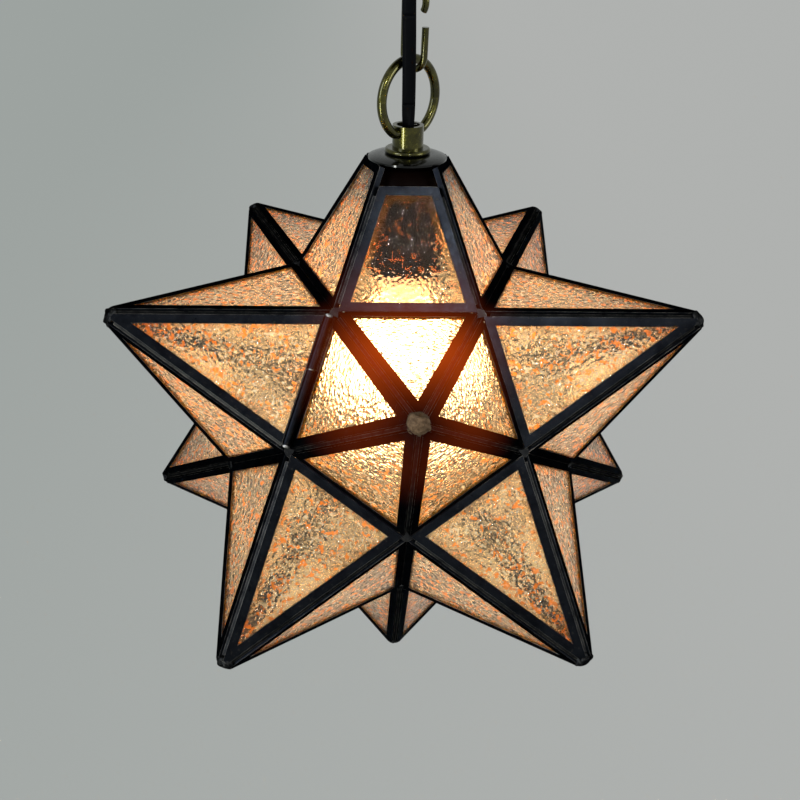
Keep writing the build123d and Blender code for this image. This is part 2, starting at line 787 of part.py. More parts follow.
def bulb_contact():
    foot = bulb_top_z - bulb_contact_height
    crown = TangentArc((0, 0, bulb_contact_height), (bulb_contact_radius, 0, 0), tangent=(1, 0, 0))
    sides = Polyline((0, 0, bulb_contact_height), (0, 0, 0), (bulb_contact_radius, 0, 0))
    return in_star(foot) * revolve(make_face([crown, *sides.edges()]), Axis.Z)


def bulb_stem():
    """The glass flare that closes the neck, with the rod that carries the leads."""
    neck = bulb_neck - bulb_wall - stem_clearance
    top = screw_low_z + bulb_neck_lap
    return in_star(top) * turned(
        (0, 0), (neck, 0), (neck, -stem_flare), (stem_radius, -stem_flare - stem_cone),
        (stem_tip_radius, -stem_length), (0, -stem_length),
    )


def filament():
    """Two leads that spread from the rod and the arc of wire between them."""
    top = screw_low_z + bulb_neck_lap - stem_length - lead_radius
    low = top - lead_length
    left = Polyline((-lead_radius, 0, top), (-lead_spread, 0, low)).edges()[0]
    right = Polyline((lead_spread, 0, low), (lead_radius, 0, top)).edges()[0]
    arc = ThreePointArc((-lead_spread, 0, low), (0, 0, low - filament_sag), (lead_spread, 0, low))
    parts = [wire_along(Wire([e]), lead_radius) for e in (left, right)]
    parts.append(wire_along(Wire(arc.edges()), filament_radius))
    return in_star(0) * (parts[0] + parts[1] + parts[2])


def build():
    os.makedirs("parts", exist_ok=True)

    for point in axes:
        save(node_name("cames", point), *on_faces(came_frame, point))
        save(node_name("panes", point), *on_faces(glass_pane, point))
    cap = tip_cap()
    save("tip_caps", *[tip_plane(p).location * cap for p in axes if p not in ("top", "door")])
    save("door_tip_cap", tip_plane("door").location * cap)
    fixed = [bead for point in axes if point != "door" for bead in ridge_seams(point)]
    save("solder_seams", *fixed, *valley_seams(), *corner_lumps())
    save("door_solder", *ridge_seams("door"))

    half = hinge_length / 2
    split = knuckle_end_gap / 2
    running = hinge_pin_radius + hinge_running_clearance
    save("hinge_knuckle_door", knuckle("door", "upper_left", hinge_split + split, half, running))
    save("hinge_knuckle_star", knuckle("upper_left", "door", -half, hinge_split - split, hinge_pin_radius))
    save("hinge_pin", hinge_pin())
    save("door_stops", *[door_stop(point) for point in neighbours("door")])

    save("star_cap", star_cap())
    save("check_ring", check_ring())
    save("collar", collar())
    save("star_nipple", in_star(nipple_z) * tube(nipple_radius, nipple_bore, nipple_length))
    save("star_locknut", in_star(locknut_z) * hex_nut(locknut_flats, locknut_height))

    save("hanging_ring", hanging_ring())
    save("open_link", open_link())
    save("canopy_loop", canopy_loop())
    save("canopy", canopy())
    save("ceiling_strap", ceiling_strap())
    save("ceiling_nipple", ceiling_nipple())
    nut_low = -strap_thickness - strap_nut_height
    save("strap_nut", Pos(0, 0, nut_low) * hex_nut(strap_nut_flats, strap_nut_height))
    save("cord_bushing", cord_bushing())
    save("terminal_block", terminal_block())
    cord_top = cord_route[0][2]
    block_low = -strap_thickness - block_height
    save("supply_cores", *[Pos(*cord_drop) * c for c in core_pair(cord_top, block_low + core_entry)])
    save("cord", cord())
    cord_low = cord_route[-1][2] + ceiling_z
    save("holder_cores", *[in_star(0) * c for c in core_pair(insulator_z + insulator_height, cord_low)])

    save("holder_cap", holder_cap())
    save("holder_skirt", holder_skirt())
    save("holder_insulator", holder_insulator())
    save("screw_shell", screw_shell())
    save("centre_contact", centre_contact())

    save("bulb_glass", bulb_glass())
    save("bulb_cap", bulb_cap())
    save("bulb_insulator", bulb_insulator())
    save("bulb_contact", bulb_contact())
    save("bulb_stem", bulb_stem())
    save("filament", filament())

    print("nodes", len(made))
    print("star centre", centre.Z, "pin", pin_z - ceiling_z, "link low", link_low_z - ceiling_z)
    print("loop wire", loop_z - loop_radius - ceiling_z, "hinge", hinge_middle, hinge_up)


build()
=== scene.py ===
import json
from itertools import combinations
from math import atan, cos, exp, pi, radians, sin, sqrt, tan

import bmesh
import bpy
from mathutils import Matrix, Vector, noise
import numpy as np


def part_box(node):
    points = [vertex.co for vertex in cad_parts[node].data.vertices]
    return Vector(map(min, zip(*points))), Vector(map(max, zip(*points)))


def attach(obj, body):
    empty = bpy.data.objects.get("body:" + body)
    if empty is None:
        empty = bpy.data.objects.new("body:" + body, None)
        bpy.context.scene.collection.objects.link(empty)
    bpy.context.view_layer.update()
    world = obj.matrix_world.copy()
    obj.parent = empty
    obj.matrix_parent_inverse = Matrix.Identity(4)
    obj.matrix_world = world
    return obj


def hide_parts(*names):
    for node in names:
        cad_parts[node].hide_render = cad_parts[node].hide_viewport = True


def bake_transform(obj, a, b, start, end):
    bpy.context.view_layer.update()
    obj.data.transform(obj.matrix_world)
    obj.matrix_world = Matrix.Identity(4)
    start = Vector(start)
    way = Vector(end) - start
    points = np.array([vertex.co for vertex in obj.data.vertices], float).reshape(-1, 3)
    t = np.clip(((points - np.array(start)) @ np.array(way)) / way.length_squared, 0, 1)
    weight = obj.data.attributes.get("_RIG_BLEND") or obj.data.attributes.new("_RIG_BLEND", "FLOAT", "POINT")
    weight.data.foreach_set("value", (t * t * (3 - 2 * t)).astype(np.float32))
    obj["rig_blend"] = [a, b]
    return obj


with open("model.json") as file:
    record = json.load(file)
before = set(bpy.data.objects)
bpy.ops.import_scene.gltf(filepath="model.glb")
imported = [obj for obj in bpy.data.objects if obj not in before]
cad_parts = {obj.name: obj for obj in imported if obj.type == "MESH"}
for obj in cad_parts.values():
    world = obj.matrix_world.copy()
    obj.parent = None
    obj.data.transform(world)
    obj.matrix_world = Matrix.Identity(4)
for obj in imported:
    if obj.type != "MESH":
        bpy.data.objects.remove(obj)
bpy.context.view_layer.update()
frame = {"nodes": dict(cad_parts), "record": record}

# Star pendant light: hammered glass in patinated brass channels, lit by a frosted bulb.
# Metres, +Z up, origin at the ceiling. The hinged point faces -Y.
MM = 0.001

# Star, as the solids have it
TIP_RADIUS = 168.0 * MM          # star centre to the ideal tip of a point
TOP_CUT = 32.0 * MM              # the upper point is cut off this far below its ideal tip
VENT_HEIGHT = 8.6 * MM           # open slot over the short pane
TIP_TRIM = 6.8 * MM              # channels end this far from the ideal tip
PANE_THICKNESS = 2.0 * MM
CAME_WALL = 0.35 * MM
PANE_CLEARANCE = 0.05 * MM
SEAM_GAP = 0.05 * MM
DOOR_GAP = 0.6 * MM

# Hammered relief of the glass
RELIEF_DEPTH = 0.28 * MM
RELIEF_WIDTH = 3.4 * MM          # from one hollow to the next
RELIEF_COLUMNS = 48
RELIEF_ROWS = 76
HAMMER_WIDTH = 2.0               # small dimples, in millimetres
HAMMER_DEPTH = 0.5 * MM
SPARKLE_WIDTH = 1.7              # glints in the dimples
FLECK_WIDTH = 3.0                # orange patches
FLECK_SHARE = 0.75
SHORT_FLECK_SHARE = 0.3          # fewer show in the short pane
FLECKS_THIN = 70.0               # flecks crowd from this far from the star's centre, in millimetres
FLECKS_CROWD = 160.0             # to this far
FLECK_CROWDING = 0.03
CAUGHT_LEAST, CAUGHT_MOST = 0.16, 0.5   # share of the light that the lit side catches
GLINT_SHARE = 0.5                # pale glints, seen from outside
RIM_WIDTH = 8.0                  # golden light along the edges of a pane
RIM_SHARE = 0.7
GLASS_IOR = 1.32
ROLLED_ROUGHNESS = 0.15
POLISHED_ROUGHNESS = 0.02
ROLLED_GLOSS = 0.4
POLISHED_GLOSS = 0.15
CHANNEL_EDGE = 0.2 * MM          # rounding of the channels' edges
WELD_REACH = 0.002 * MM
SHARP_ANGLE = radians(35)

# The bulb's own light, the painted red glow on the channels near it, and the worn edges that double as painted
# highlights
PAINTED_GLOW_PLACE = Vector((0, -88.0, 75.0)) * MM   # brightest place of the painted glow on the channels and solder, from the star's centre
PAINTED_GLOW_REACH = 70.0 * MM
PAINTED_GLOW_STRENGTH = 1.1
PAINTED_GLOW_FADE = 2.0
BULB_STRENGTH = 85.0
NECK_STRENGTH = 0.15
NECK_LENGTH = 45.0               # the neck dims upwards over this many millimetres
WEAR_AND_HIGHLIGHT_WIDTH = 0.35 * MM           # how far from an edge the dark skin is rubbed off, which also paints a pale edge highlight

# Solder lumps on the tips and pools in the valley corners
LUMP_RADIUS = 4.7 * MM
LUMP_HEIGHT = 3.2 * MM
LUMP_SINK = 7.0 * MM             # a lump's middle lies this far below the ideal tip
LUMP_UNEVEN = 0.32
POOL_RADIUS = 6.0 * MM           # solder pool in a valley corner, over the ends of its channels
POOL_HEIGHT = 2.5 * MM
POOL_SINK = 0.5 * MM

# Cord: flat flex, the same route as the solid
CORD_ROUTE = (
    (-0.0025, -0.0160, -0.0140),
    (-0.0025, -0.0160, -0.0400),
    (-0.0006, -0.0082, -0.0870),
    (0.0, 0.0, -0.1230),
    (0.0, 0.0, -0.1415),
)
CORD_WIDTH = 6.2 * MM
CORD_THICKNESS = 3.8 * MM
CORD_GROOVE = 0.16               # share of the thickness taken by the groove along the middle
CORD_TWIST = radians(68)         # the flat side turns away as the cord goes into the collar
CORD_TWIST_FROM = -0.100
CORD_TWIST_TO = -0.122
CORD_CUTS = (-0.0635, -0.1030)   # heights where one bending stretch hands over to the next
CORD_BEND_FROM = -0.035          # heights where the bending starts and ends
CORD_BEND_TO = -0.122
CORD_SIDES = 32

# Camera, fitted to the star's tips and corners
CAMERA_AZIMUTH = radians(-2.86)
CAMERA_ELEVATION = radians(28.30)
CAMERA_ROLL = radians(1.59)
CAMERA_DISTANCE = 0.5441
CAMERA_SHIFT_RIGHT = -0.30 * MM
CAMERA_SHIFT_UP = 4.09 * MM
CAMERA_FOCAL = 1005.7 / 800      # focal length as a share of the picture's width
SENSOR_WIDTH = 36.0

FLOOR_HEIGHT = -1.25
FLOOR_SIZE = 30.0
FLOOR_SHADED_SIDE = -1500.0        # painted shade: the tone lightens from left to right, in millimetres
FLOOR_LIT_SIDE = 1300.0
FLOOR_OWN_TONE = 0.92            # the rest takes light and shadow
ROOM_COLOUR = "#AAADAB"
ROOM_LIGHT = 0.1                 # the room's share of the light on matte surfaces

# Exact proportions of the star
ROOT5 = sqrt(5)
FACE_OFFSET = TIP_RADIUS / ROOT5
APEX_Y = TIP_RADIUS * 2 / ROOT5
BASE_Y = APEX_Y / (1 + ROOT5)
HALF_APEX = radians(18)
HALF_DIHEDRAL = atan((1 + ROOT5) / 2)
LEAN = atan(0.5)
CAME_THICKNESS = PANE_THICKNESS + 2 * (PANE_CLEARANCE + CAME_WALL)
EDGE_INSET = CAME_THICKNESS / 2 / tan(HALF_DIHEDRAL) + SEAM_GAP / 2 / sin(HALF_DIHEDRAL)
STAR_CENTRE = Vector((0, 0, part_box("star_cap")[0].z - TIP_RADIUS + TOP_CUT))


def direction(azimuth, elevation):
    a = radians(azimuth)
    return Vector((cos(elevation) * cos(a), cos(elevation) * sin(a), sin(elevation)))


UPPER = ("door", "upper_right", "upper_back_right", "upper_back_left", "upper_left")
LOWER = ("lower_front_right", "lower_right", "lower_back", "lower_left", "lower_front_left")
AXES = {"top": Vector((0, 0, 1)), "bottom": Vector((0, 0, -1))}
for step in range(5):
    AXES[UPPER[step]] = direction(72 * step - 90, LEAN)
    AXES[LOWER[step]] = direction(72 * step - 54, -LEAN)


def neighbours(point):
    return [n for n in AXES if n != point and AXES[n].dot(AXES[point]) > 0]


def corner(a, b, c):
    """Where three points meet in the valley."""
    return STAR_CENTRE + (AXES[a] + AXES[b] + AXES[c]) * (TIP_RADIUS / (2 + ROOT5))


# Small helpers
def linear(colour):
    """An sRGB hex colour as linear light."""
    channels = [int(colour[i:i + 2], 16) / 255 for i in (1, 3, 5)]
    lit = [c / 12.92 if c <= 0.04045 else ((c + 0.055) / 1.055) ** 2.4 for c in channels]
    return (*lit, 1.0)


def add(tree, kind, inputs=None, **settings):
    """Add a node with its settings, and fill or link its inputs."""
    made = tree.nodes.new(kind)
    for name, value in settings.items():
        setattr(made, name, value)
    for key, value in (inputs or {}).items():
        if isinstance(value, bpy.types.NodeSocket):
            tree.links.new(value, made.inputs[key])
        else:
            made.inputs[key].default_value = value
    return made


def new_material(name):
    """An empty material, with its tree and its surface coordinates in millimetres."""
    made = bpy.data.materials.new(name)
    made.use_nodes = True
    tree = made.node_tree
    tree.nodes.clear()
    place = add(tree, "ShaderNodeTexCoord").outputs["Object"]
    coords = add(tree, "ShaderNodeVectorMath", {0: place, "Scale": 1 / MM}, operation="SCALE").outputs[0]
    return made, tree, coords


def end_material(tree, shader):
    add(tree, "ShaderNodeOutputMaterial", {"Surface": shader.outputs[0]})


def mixed(tree, share, first, second):
    """The colour between two, by a share from 0 to 1."""
    return add(tree, "ShaderNodeMix", {0: share, 6: first, 7: second}, data_type="RGBA").outputs[2]


def new_piece(name, bm, material, body):
    mesh = bpy.data.meshes.new(name)
    bm.to_mesh(mesh)
    bm.free()
    mesh.materials.append(material)
    piece = bpy.data.objects.new(name, mesh)
    bpy.context.scene.collection.objects.link(piece)
    if body:
        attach(piece, body)
    return piece


# Materials
def hammered_glass(name, lit, roughness, gloss, glints=GLINT_SHARE, flecks_share=FLECK_SHARE):
    """Clear cathedral glass rolled with a hammered face: small dimples that break up what is behind.
    The lit side, towards the bulb, also catches its light in the dimples: pale glints and orange flecks.
    Along its edges the glass glows gold."""
    made, tree, coords = new_material(name)
    dimples = add(tree, "ShaderNodeTexVoronoi", {
        "Vector": coords, "Scale": 1 / HAMMER_WIDTH, "Smoothness": 0.5}, feature="SMOOTH_F1")
    ripple = add(tree, "ShaderNodeTexNoise", {
        "Vector": coords, "Scale": 1 / (HAMMER_WIDTH * 1.3), "Detail": 2.0, "Roughness": 0.5,
        "Distortion": 0.8})
    height = add(tree, "ShaderNodeMath", {0: dimples.outputs["Distance"], 1: ripple.outputs[0]},
                 operation="ADD")
    bump = add(tree, "ShaderNodeBump", {"Height": height.outputs[0], "Strength": 1.0,
                                        "Distance": HAMMER_DEPTH})
    body = add(tree, "ShaderNodeBsdfPrincipled", {
        "Base Color": linear("#F8F1DC"), "Roughness": roughness, "IOR": GLASS_IOR, "Transmission Weight": 1.0,
        "Normal": bump.outputs[0], "Coat Weight": gloss, "Coat Roughness": 0.02,
        "Coat Normal": bump.outputs[0]})
    if lit:
        sparkle = add(tree, "ShaderNodeTexNoise", {"Vector": coords, "Scale": 1 / SPARKLE_WIDTH, "Detail": 2.0,
                                                   "Roughness": 0.6})
        spark = add(tree, "ShaderNodeMapRange", {0: sparkle.outputs[0], 1: 0.44, 2: 0.6, 3: CAUGHT_LEAST,
                                                 4: CAUGHT_MOST})
        glint = add(tree, "ShaderNodeMapRange", {0: sparkle.outputs[0], 1: 0.56, 2: 0.64, 4: glints})
        flecks = add(tree, "ShaderNodeTexNoise", {"Vector": coords, "Scale": 1 / FLECK_WIDTH, "Detail": 3.0,
                                                  "Roughness": 0.6})
        middle = tuple(v / MM for v in STAR_CENTRE)
        offset = add(tree, "ShaderNodeVectorMath", {0: coords, 1: middle}, operation="SUBTRACT")
        span = add(tree, "ShaderNodeVectorMath", {0: offset.outputs[0]}, operation="LENGTH")
        crowd = add(tree, "ShaderNodeMapRange", {0: span.outputs["Value"], 1: FLECKS_THIN, 2: FLECKS_CROWD,
                                                 3: -FLECK_CROWDING, 4: FLECK_CROWDING})
        dense = add(tree, "ShaderNodeMath", {0: flecks.outputs[0], 1: crowd.outputs[0]}, operation="ADD")
        fleck = add(tree, "ShaderNodeMapRange", {0: dense.outputs[0], 1: 0.56, 2: 0.6})
        caught = add(tree, "ShaderNodeBsdfDiffuse", {"Color": linear("#FFEECC"), "Normal": bump.outputs[0]})
        behind = add(tree, "ShaderNodeNewGeometry").outputs["Backfacing"]
        pale = add(tree, "ShaderNodeBsdfTranslucent", {"Color": linear("#ECECE4"), "Normal": bump.outputs[0]})
        lights = add(tree, "ShaderNodeMixShader", {0: behind, 1: caught.outputs[0], 2: pale.outputs[0]})
        share = add(tree, "ShaderNodeMix", {0: behind, 2: spark.outputs[0], 3: glint.outputs[0]})
        body = add(tree, "ShaderNodeMixShader", {0: share.outputs[0], 1: body.outputs[0], 2: lights.outputs[0]})
        ember = add(tree, "ShaderNodeBsdfTranslucent", {"Color": linear("#D8801E"), "Normal": bump.outputs[0]})
        some = add(tree, "ShaderNodeMath", {0: fleck.outputs[0], 1: flecks_share}, operation="MULTIPLY")
        body = add(tree, "ShaderNodeMixShader", {0: some.outputs[0], 1: body.outputs[0], 2: ember.outputs[0]})
    else:
        inside = add(tree, "ShaderNodeAttribute", attribute_name="inside").outputs["Fac"]
        rim = add(tree, "ShaderNodeMapRange", {0: inside, 1: RIM_WIDTH, 2: 0.0, 4: RIM_SHARE})
        gold = add(tree, "ShaderNodeBsdfTranslucent", {"Color": linear("#C88814"), "Normal": bump.outputs[0]})
        body = add(tree, "ShaderNodeMixShader", {0: rim.outputs[0], 1: body.outputs[0], 2: gold.outputs[0]})
    path = add(tree, "ShaderNodeLightPath")
    through = add(tree, "ShaderNodeBsdfTransparent", {"Color": linear("#F2E8D4")})
    shader = add(tree, "ShaderNodeMixShader", {0: path.outputs["Is Shadow Ray"], 1: body.outputs[0],
                                               2: through.outputs[0]})
    end_material(tree, shader)
    return made


def metal(name, colours, spot, roughness, grain_depth=0.02, edge_wear_and_highlight=None, glow=None, lacquer=0.0, rim="#FFFFFF"):
    """A metal whose colour wanders between tones in soft patches, with a fine uneven grain."""
    made, tree, coords = new_material(name)
    dark, middle, light = (linear(c) for c in colours)
    patches = add(tree, "ShaderNodeTexNoise", {"Vector": coords, "Scale": 1 / spot, "Detail": 4.0,
                                               "Roughness": 0.6})
    share = add(tree, "ShaderNodeMapRange", {0: patches.outputs[0], 1: 0.35, 2: 0.65})
    specks = add(tree, "ShaderNodeTexNoise", {"Vector": coords, "Scale": 5 / spot, "Detail": 5.0,
                                              "Roughness": 0.7})
    speck = add(tree, "ShaderNodeMapRange", {0: specks.outputs[0], 1: 0.58, 2: 0.75})
    colour = mixed(tree, speck.outputs[0], mixed(tree, share.outputs[0], dark, middle), light)
    sheen = add(tree, "ShaderNodeMapRange", {0: specks.outputs[0], 1: 0.3, 2: 0.7, 3: roughness - 0.08,
                                             4: roughness + 0.1})
    bump = add(tree, "ShaderNodeBump", {"Height": specks.outputs[0], "Strength": 0.6,
                                        "Distance": grain_depth * MM})
    if edge_wear_and_highlight:
        # Handling rubs the edges bright: where the surface turns, the dark skin is gone. The pale edge also
        # serves as a painted edge highlight.
        turned = add(tree, "ShaderNodeBevel", {"Radius": WEAR_AND_HIGHLIGHT_WIDTH}, samples=4)
        flat = add(tree, "ShaderNodeNewGeometry").outputs["Normal"]
        same = add(tree, "ShaderNodeVectorMath", {0: turned.outputs[0], 1: flat}, operation="DOT_PRODUCT")
        edge = add(tree, "ShaderNodeMapRange", {0: same.outputs["Value"], 1: 0.97, 2: 0.85})
        rubbed = add(tree, "ShaderNodeMath", {0: edge.outputs[0], 1: share.outputs[0]}, operation="MULTIPLY")
        colour = mixed(tree, rubbed.outputs[0], colour, linear(edge_wear_and_highlight))
    shader = add(tree, "ShaderNodeBsdfPrincipled", {
        "Base Color": colour, "Metallic": 1.0, "Roughness": sheen.outputs[0], "Normal": bump.outputs[0],
        "Coat Weight": lacquer, "Coat Roughness": 0.08, "Specular Tint": linear(rim)})
    if glow:
        # Painted glow: an emission reddens the channels nearest to the bulb, standing in for its light spilling
        # along the glass edges.
        painted_glow_middle = tuple(v / MM for v in STAR_CENTRE + PAINTED_GLOW_PLACE)
        offset = add(tree, "ShaderNodeVectorMath", {0: coords, 1: painted_glow_middle}, operation="SUBTRACT")
        span = add(tree, "ShaderNodeVectorMath", {0: offset.outputs[0]}, operation="LENGTH")
        near = add(tree, "ShaderNodeMapRange", {0: span.outputs["Value"], 1: PAINTED_GLOW_REACH / MM, 2: 0.0})
        bright = add(tree, "ShaderNodeMath", {0: near.outputs[0], 1: PAINTED_GLOW_FADE}, operation="POWER")
        # The painted glow fades on a piece that has swung away from its place, such as the open door.
        now = add(tree, "ShaderNodeNewGeometry").outputs["Position"]
        moved = add(tree, "ShaderNodeVectorMath", {0: now, 1: STAR_CENTRE + PAINTED_GLOW_PLACE}, operation="DISTANCE")
        there = add(tree, "ShaderNodeMapRange", {0: moved.outputs["Value"], 1: 1.4 * PAINTED_GLOW_REACH, 2: PAINTED_GLOW_REACH,
                                                 4: PAINTED_GLOW_STRENGTH})
        strong = add(tree, "ShaderNodeMath", {0: bright.outputs[0], 1: there.outputs[0]}, operation="MULTIPLY")
        tree.links.new(strong.outputs[0], shader.inputs["Emission Strength"])
        shader.inputs["Emission Color"].default_value = linear(glow)
    end_material(tree, shader)
    return made


def plastic(name, colour, shade, roughness, speckle, gloss=0.5):
    """A moulded piece: an even colour with a faint mottle and a soft skin."""
    made, tree, coords = new_material(name)
    mottle = add(tree, "ShaderNodeTexNoise", {"Vector": coords, "Scale": 1 / speckle, "Detail": 3.0})
    tone = mixed(tree, mottle.outputs[0], linear(colour), linear(shade))
    bump = add(tree, "ShaderNodeBump", {"Height": mottle.outputs[0], "Strength": 0.3, "Distance": 0.02 * MM})
    shader = add(tree, "ShaderNodeBsdfPrincipled", {
        "Base Color": tone, "Roughness": roughness, "Normal": bump.outputs[0], "Specular IOR Level": gloss})
    end_material(tree, shader)
    return made


def frosted_lit_glass():
    """Inside frosted bulb glass: warm white round the filament, dimmer and more orange up the neck."""
    made, tree, coords = new_material("frosted_lit_glass")
    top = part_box("bulb_glass")[1].z / MM
    height = add(tree, "ShaderNodeSeparateXYZ", {0: coords}).outputs["Z"]
    below = add(tree, "ShaderNodeMapRange", {0: height, 1: top, 2: top - NECK_LENGTH})
    colour = mixed(tree, below.outputs[0], linear("#FF7A1C"), linear("#FFDAA4"))
    rise = add(tree, "ShaderNodeMath", {0: below.outputs[0], 1: 3.0}, operation="POWER")
    bright = add(tree, "ShaderNodeMapRange", {0: rise.outputs[0], 3: NECK_STRENGTH, 4: BULB_STRENGTH})
    shader = add(tree, "ShaderNodeBsdfPrincipled", {
        "Base Color": linear("#FFF3E0"), "Roughness": 0.35, "Emission Color": colour,
        "Emission Strength": bright.outputs[0]})
    end_material(tree, shader)
    return made


def stem_glass():
    """Drawn clear glass: colourless, with bright edges."""
    made, tree, _ = new_material("clear_stem_glass")
    shader = add(tree, "ShaderNodeBsdfPrincipled", {
        "Base Color": linear("#F4F6F4"), "Roughness": 0.02, "Transmission Weight": 1.0, "IOR": 1.5})
    end_material(tree, shader)
    return made


# Rolled glass: dimples that bend what is behind them into short streaks
GLASS = hammered_glass("hammered_clear_glass", False, ROLLED_ROUGHNESS, ROLLED_GLOSS)
LIT_SIDE = hammered_glass("hammered_clear_glass_lit_side", True, ROLLED_ROUGHNESS, ROLLED_GLOSS)
# The short pane is polished: the dark holder shows through it
SMOOTH_GLASS = hammered_glass("polished_hammered_glass", False, POLISHED_ROUGHNESS, POLISHED_GLOSS)
SMOOTH_LIT_SIDE = hammered_glass("polished_hammered_glass_lit_side", True, POLISHED_ROUGHNESS, POLISHED_GLOSS,
                                 glints=0.0, flecks_share=SHORT_FLECK_SHARE)
# Blackened brass: a dark blue-black skin, rubbed pale at the edges, which also paints an edge highlight, and a
# painted red glow near the bulb
CAME_PATINA = metal("black_patina_brass", ("#121418", "#1C1F24", "#35322E"), 9.0, 0.34, edge_wear_and_highlight="#9A958C",
                    glow="#C84A10", rim="#808488")
# Blackened solder: softer and greyer than the channels, with a lumpy grain, pale rubbed edges that also paint
# an edge highlight, and the same painted red glow near the bulb
SOLDER_PATINA = metal("black_patina_solder", ("#1A1B1D", "#2A2B2B", "#46433F"), 5.0, 0.4, grain_depth=0.1,
                      edge_wear_and_highlight="#7A766F", glow="#C04410", rim="#808488")
# Solder with its skin rubbed off by the hand that opens the door: warm grey and rough
BARE_SOLDER = metal("rubbed_solder", ("#4A3A2C", "#6C5844", "#A08A70"), 1.6, 0.5, grain_depth=0.4)
# Drawn steel: a bright pin
DRAWN_STEEL = metal("drawn_steel", ("#B4B2AE", "#CECCC7", "#EDEAE4"), 4.0, 0.35)
# Spun and blackened cap: nearly black, with a lacquer's highlights
CAP_PATINA = metal("spun_black_patina_brass", ("#0A0B0C", "#141516", "#2C2820"), 8.0, 0.3, lacquer=0.7)
# Antique brass: olive, mottled and lacquered
ANTIQUE_BRASS = metal("antique_brass", ("#34320F", "#56531F", "#8A8644"), 7.0, 0.24, lacquer=0.6)
# Zinc plate: a cool, even grey
ZINC = metal("zinc_plated_steel", ("#8E9296", "#A8ABAE", "#C4C6C8"), 6.0, 0.35)
# Pressed brass: clean yellow
PRESSED_BRASS = metal("pressed_brass", ("#B08A45", "#C9A45A", "#E0C684"), 8.0, 0.28)
# Rolled aluminium: pale grey, softly bright
ALUMINIUM = metal("rolled_aluminium", ("#B4B6B8", "#C6C8CA", "#DDDFE0"), 6.0, 0.32)
# Tungsten wire: dark grey
TUNGSTEN = metal("tungsten_wire", ("#5A5652", "#6E6A66", "#8A8682"), 2.0, 0.4)
# Bakelite: brown-black and dull, so that it shows dark against the bulb
BAKELITE = plastic("moulded_bakelite", "#070302", "#0E0503", 0.5, 6.0, gloss=0.02)
# Porcelain: warm white under a glaze
PORCELAIN = plastic("glazed_porcelain", "#E6E2D8", "#D8D3C6", 0.22, 9.0)
# Nylon: even, with a soft sheen
BLACK_NYLON = plastic("moulded_black_nylon", "#121212", "#1C1C1C", 0.5, 3.0)
WHITE_NYLON = plastic("moulded_white_nylon", "#DCDCD6", "#CFCFC8", 0.45, 5.0)
# Flex sheath: black and matte
CORD_SHEATH = plastic("extruded_black_sheath", "#040507", "#07090C", 0.55, 2.5, gloss=0.04)
# Core insulation: brown, slightly glossy
CORE_SHEATH = plastic("extruded_core_insulation", "#5A3A22", "#6B4930", 0.4, 3.0)
# Black glass: glossy and nearly black
BLACK_GLASS = plastic("cast_black_glass", "#0C0C0F", "#15151A", 0.1, 4.0)
LIT_GLASS = frosted_lit_glass()
STEM_GLASS = stem_glass()

SLOT_FINISH = {
    "came_patina": CAME_PATINA, "solder": SOLDER_PATINA, "bright_steel": DRAWN_STEEL, "cap_patina": CAP_PATINA,
    "antique_brass": ANTIQUE_BRASS, "canopy_brass": ANTIQUE_BRASS, "zinc_steel": ZINC,
    "black_nylon": BLACK_NYLON,
    "white_nylon": WHITE_NYLON, "core_insulation": CORE_SHEATH, "cord_sheath": CORD_SHEATH,
    "black_bakelite": BAKELITE, "porcelain": PORCELAIN, "bright_brass": PRESSED_BRASS, "bulb_glass": LIT_GLASS,
    "bulb_aluminium": ALUMINIUM, "black_glass": BLACK_GLASS, "stem_glass": STEM_GLASS, "tungsten": TUNGSTEN,
    "pane_glass": GLASS,
}
for part in frame["record"]["subparts"]:
    shown = frame["nodes"][part["node"]]
    shown.data.materials.clear()
    shown.data.materials.append(SLOT_FINISH[part["material_slot"]])
frame["nodes"]["door_tip_cap"].data.materials[0] = BARE_SOLDER


def soften(node, width):
    """Break the sharp edges of a rigid node, so that they catch light."""
    shown = frame["nodes"][node]
    shown.modifiers.new("weld", "WELD").merge_threshold = WELD_REACH
    bevel = shown.modifiers.new("edges", "BEVEL")
    bevel.width = width
    bevel.segments = 2
    bevel.limit_method = "ANGLE"
    bevel.angle_limit = SHARP_ANGLE
    shown.modifiers.new("normals", "WEIGHTED_NORMAL").keep_sharp = False


# Panes
def pane_half(y, inset):
    return (APEX_Y - y) * tan(HALF_APEX) - inset / cos(HALF_APEX)


def relief(place):
    """How deep the rolled face lies at a place, from 0 to 1."""
    spot = place / RELIEF_WIDTH
    hollow = noise.voronoi(spot)[0][0]
    wave = noise.noise(spot * 0.6 + Vector((7, 3, 1)))
    return min(max(0.9 * hollow + 0.25 * wave, 0.0), 1.0)


def pane_limits(point, neighbour):
    """Lower and upper edge of a pane, along its face."""
    inset = EDGE_INSET + CAME_WALL + PANE_CLEARANCE
    low = BASE_Y + inset
    top = APEX_Y - TIP_TRIM
    if point == "door":
        low += DOOR_GAP
    if point == "top":
        top = APEX_Y - (TOP_CUT + CAME_THICKNESS / 2 * sin(LEAN)) / cos(LEAN)
        if neighbour == "door":
            top -= VENT_HEIGHT
    top -= CAME_WALL + PANE_CLEARANCE
    return inset, low, min(top, APEX_Y - inset / sin(HALF_APEX) - 0.2 * MM)


